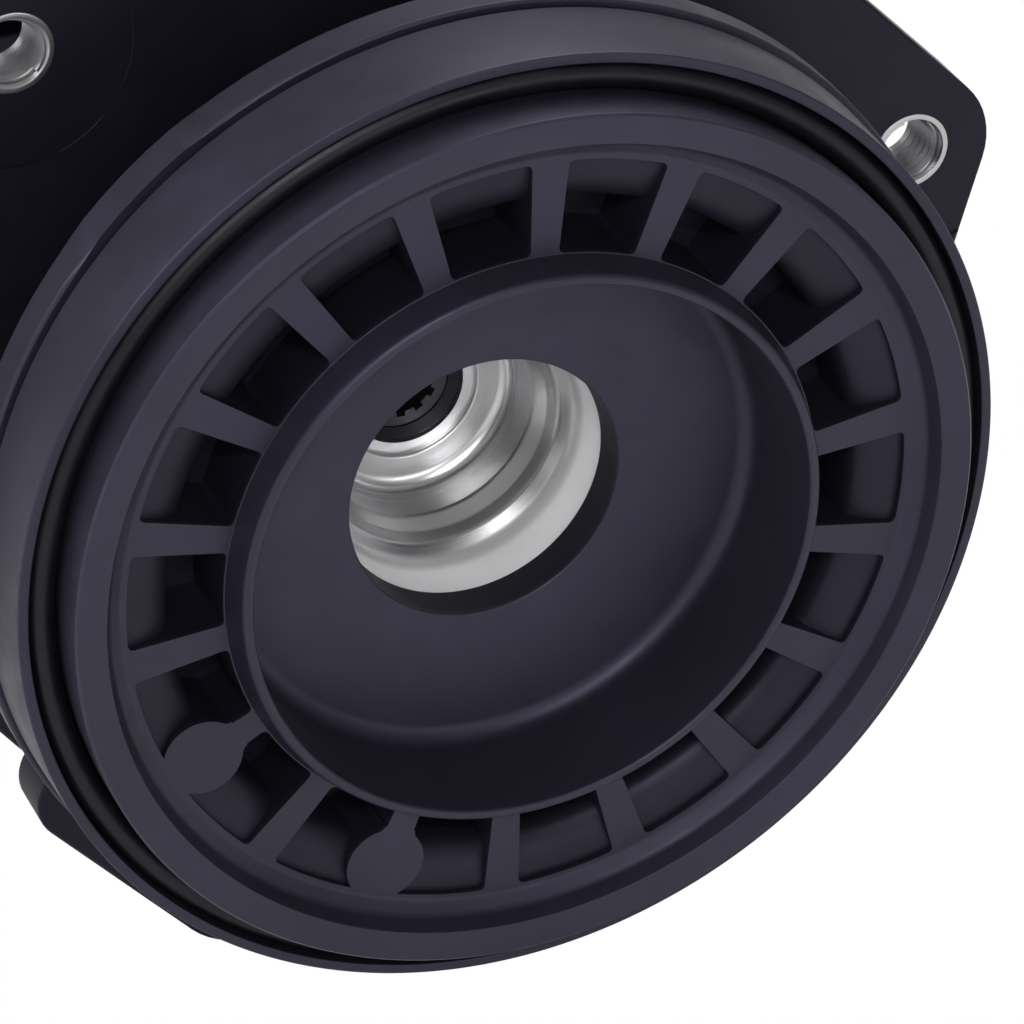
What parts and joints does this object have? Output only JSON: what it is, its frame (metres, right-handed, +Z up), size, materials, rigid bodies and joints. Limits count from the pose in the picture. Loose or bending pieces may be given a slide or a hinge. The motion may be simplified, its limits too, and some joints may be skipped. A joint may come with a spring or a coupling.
{
  "type": "supercharger",
  "caption": "Belt-drive roots supercharger with a ribbed round nose cover, sealed spigot, three-lug mounting plate, inlet duct and bypass valve.",
  "frame": {"origin": "on the drive axis, in the plane of the front cover's rim", "axes": "-Y out of the ribbed front cover along the drive axis, +Z up towards the inlet duct, +X to the right seen from the front"},
  "size_m": [0.1927, 0.2285, 0.1872],
  "materials": {
    "black_casting": "satin black powder coat on a casting, faint purple-grey sheen",
    "seal_rubber": "smooth dull black rubber",
    "gasket": "dark grey fibre sheet",
    "zinc_steel": "zinc plated steel",
    "bright_steel": "turned steel with fine rings",
    "bearing_steel": "ground bearing steel",
    "gear_steel": "machined steel, lightly oiled",
    "black_steel": "black phosphate coat on steel",
    "rotor_alloy": "machined light alloy",
    "brass": "turned brass",
    "copper_washer": "soft copper",
    "nylon": "natural nylon",
    "can_steel": "passivated pressed steel",
    "spring_steel": "spring wire"
  },
  "bodies": {
    "case": {"front_cover": "black_casting", "face_seal": "seal_rubber", "cover_gasket": "gasket", "cover_screws": "zinc_steel", "gear_case": "black_casting", "bearing_carrier": "rotor_alloy", "lug_inserts": "bright_steel", "bearing_cup": "bright_steel", "input_seal_case": "bright_steel", "input_seal_lip": "seal_rubber", "input_bearing_outer": "bearing_steel", "input_circlip": "bright_steel", "bearing_plate": "black_casting", "shaft_seals": "seal_rubber", "rotor_housing": "black_casting", "rear_gasket": "gasket", "rear_cover": "black_casting", "rear_caps": "bright_steel", "case_screws": "zinc_steel", "rear_screws": "zinc_steel", "case_dowels": "bright_steel", "oil_fill_plug": "zinc_steel", "oil_drain_plug": "zinc_steel", "plug_washers": "copper_washer", "bearing_outer_races": "bearing_steel", "inlet_gasket": "gasket", "inlet_duct": "black_casting", "inlet_screws": "zinc_steel", "bypass_bushes": "brass", "actuator_bracket": "zinc_steel", "bracket_screws": "zinc_steel", "actuator_base": "can_steel", "actuator_top": "can_steel", "vacuum_nipple": "brass", "actuator_spring": "spring_steel"},
    "drive": {"input_shaft": "black_steel", "input_bearing_inner": "bearing_steel", "input_bearing_balls": "bearing_steel", "coupling_pins": "bright_steel", "coupling_disc": "nylon", "drive_gear": "gear_steel", "drive_shaft": "gear_steel", "drive_rotor": "rotor_alloy", "drive_inner_races": "bearing_steel", "drive_balls": "bearing_steel"},
    "driven": {"driven_gear": "gear_steel", "driven_nut": "zinc_steel", "driven_shaft": "gear_steel", "driven_rotor": "rotor_alloy", "driven_inner_races": "bearing_steel", "driven_balls": "bearing_steel"},
    "bypass": {"bypass_shaft": "bright_steel", "bypass_disc": "brass", "bypass_disc_screws": "zinc_steel", "bypass_lever": "bright_steel"},
    "actuator": {"actuator_rod": "bright_steel"}
  },
  "joints": [
    {"name": "drive_spin", "type": "hinge", "parent": "case", "child": "drive", "pos_m": [0, 0, 0], "axis": [0, 1, 0], "continuous": true},
    {"name": "driven_spin", "type": "hinge", "parent": "case", "child": "driven", "pos_m": [-0.048, 0, 0], "axis": [0, 1, 0], "continuous": true},
    {"name": "bypass_swing", "type": "hinge", "parent": "case", "child": "bypass", "pos_m": [-0.075, 0.1252, 0.0856], "axis": [0, -1, 0], "range_deg": [0, 60]},
    {"name": "actuator_slide", "type": "slide", "parent": "case", "child": "actuator", "axis": [0, 0, -1], "range_m": [0, 0.0127], "deforming": ["actuator_spring"]}
  ],
  "couplings": [
    {"joint": "driven_spin", "follows": "drive_spin", "ratio": -1},
    {"joint": "bypass_swing", "follows": "actuator_slide", "rad_per_m": 82.444}
  ]
}
